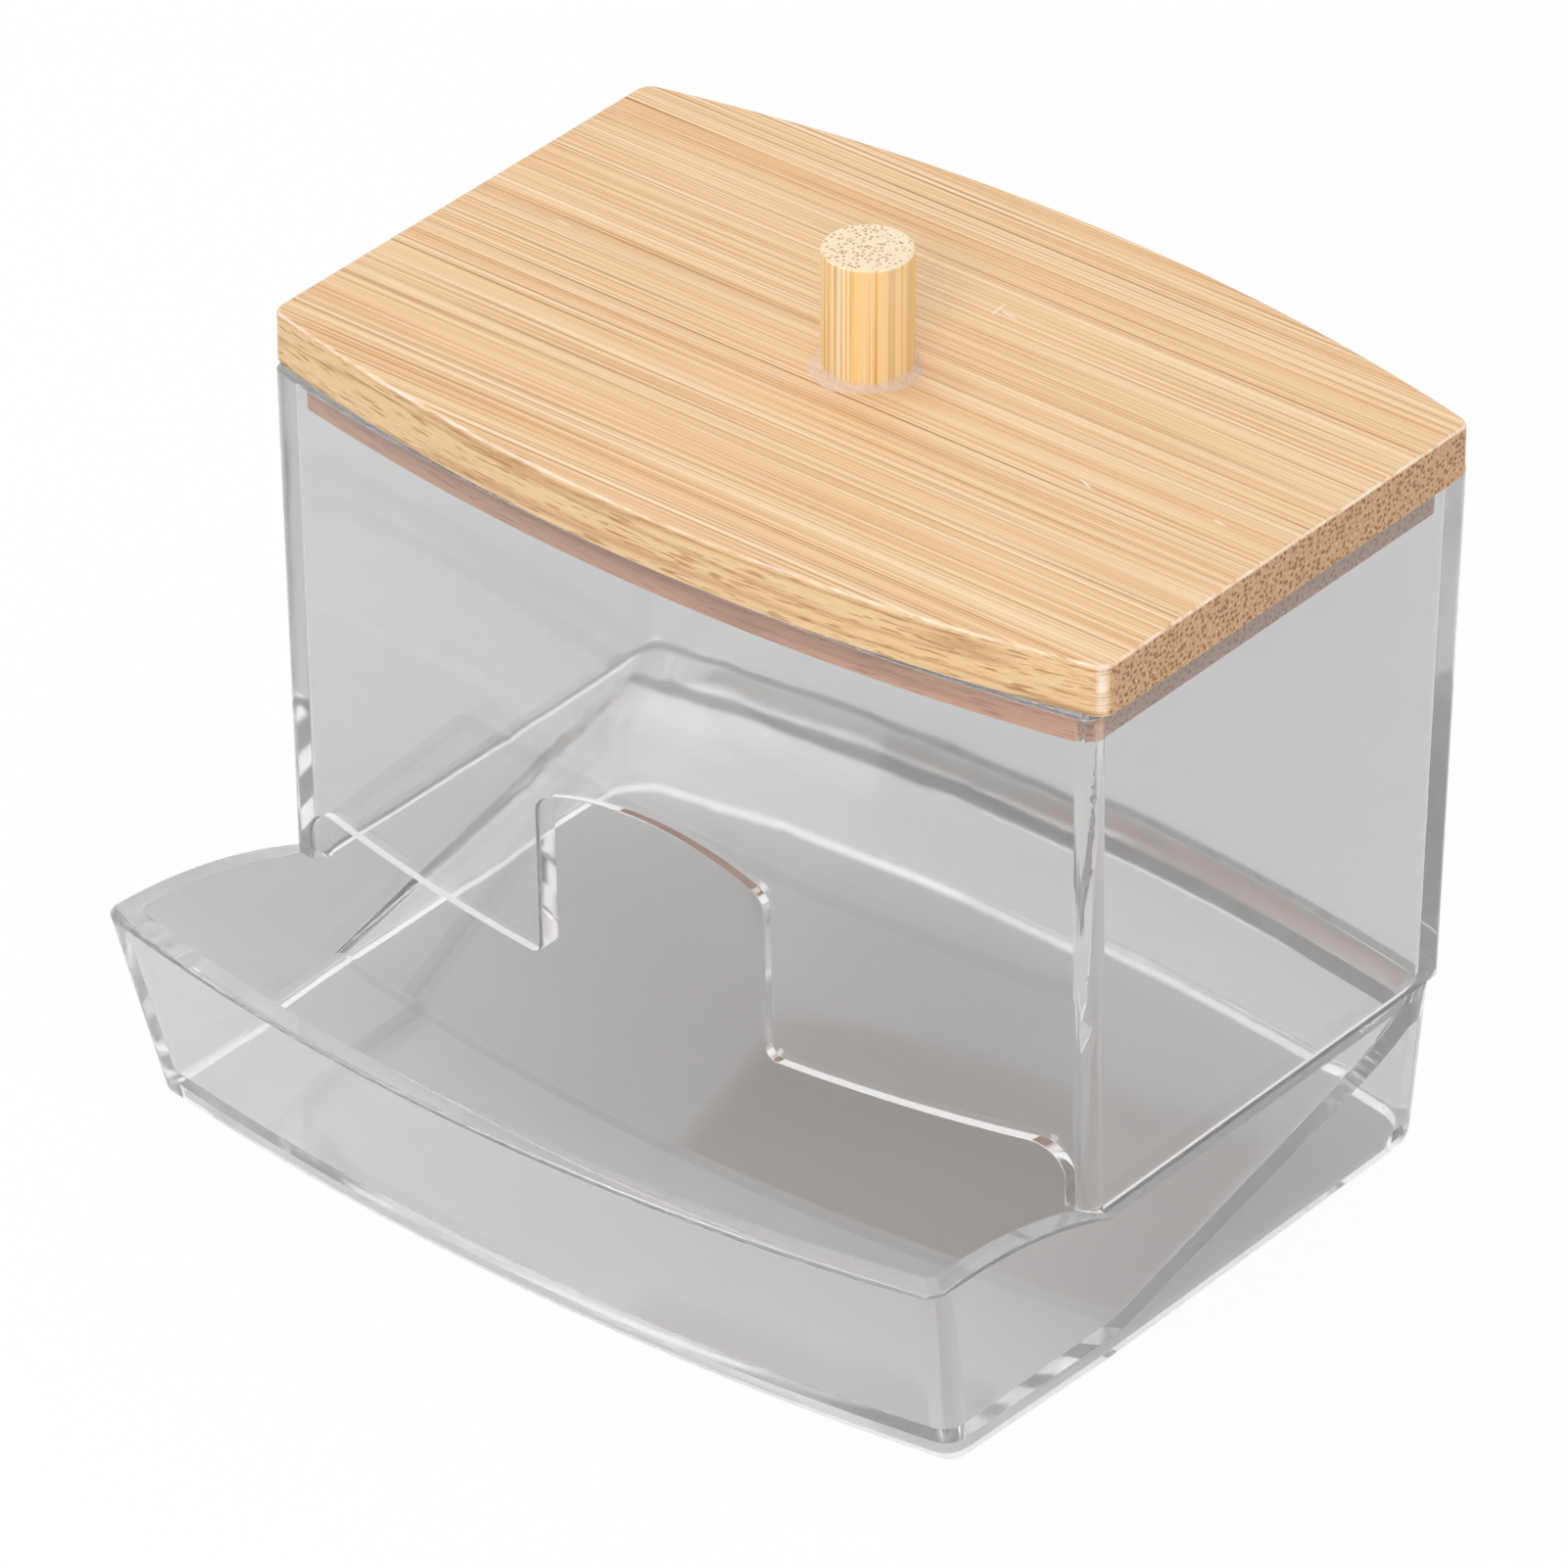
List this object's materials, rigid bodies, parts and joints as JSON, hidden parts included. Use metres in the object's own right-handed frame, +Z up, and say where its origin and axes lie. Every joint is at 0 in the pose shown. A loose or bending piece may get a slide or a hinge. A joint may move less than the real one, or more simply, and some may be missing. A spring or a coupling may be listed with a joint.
{
  "type": "cotton swab box",
  "caption": "Clear plastic dispenser box with a sloping floor, an open front tray with an arched finger notch, and a bowed bamboo lid with a dowel knob that lifts off.",
  "frame": {"origin": "on the table, under the middle of the whole object's bounding box", "axes": "+Z up, X along the width, the open tray at the front faces -Y"},
  "size_m": [0.0914, 0.0831, 0.0815],
  "materials": {
    "clear_plastic": "clear injection-moulded polystyrene, polished",
    "bamboo_board": "sanded bamboo, clear matt lacquer",
    "bamboo_locator": "sanded carbonised bamboo, bare",
    "bamboo_dowel": "turned bamboo dowel, sanded",
    "clear_glue": "cured clear wood glue"
  },
  "bodies": {
    "case": {"upper_box": "clear_plastic", "base_tray": "clear_plastic"},
    "lid": {"lid_board": "bamboo_board", "locating_board": "bamboo_locator", "lid_knob": "bamboo_dowel", "knob_glue_bead": "clear_glue"}
  },
  "joints": [
    {"name": "lid_lift", "type": "slide", "parent": "case", "child": "lid", "axis": [0, 0, 1], "range_m": [0, 0.04]}
  ]
}
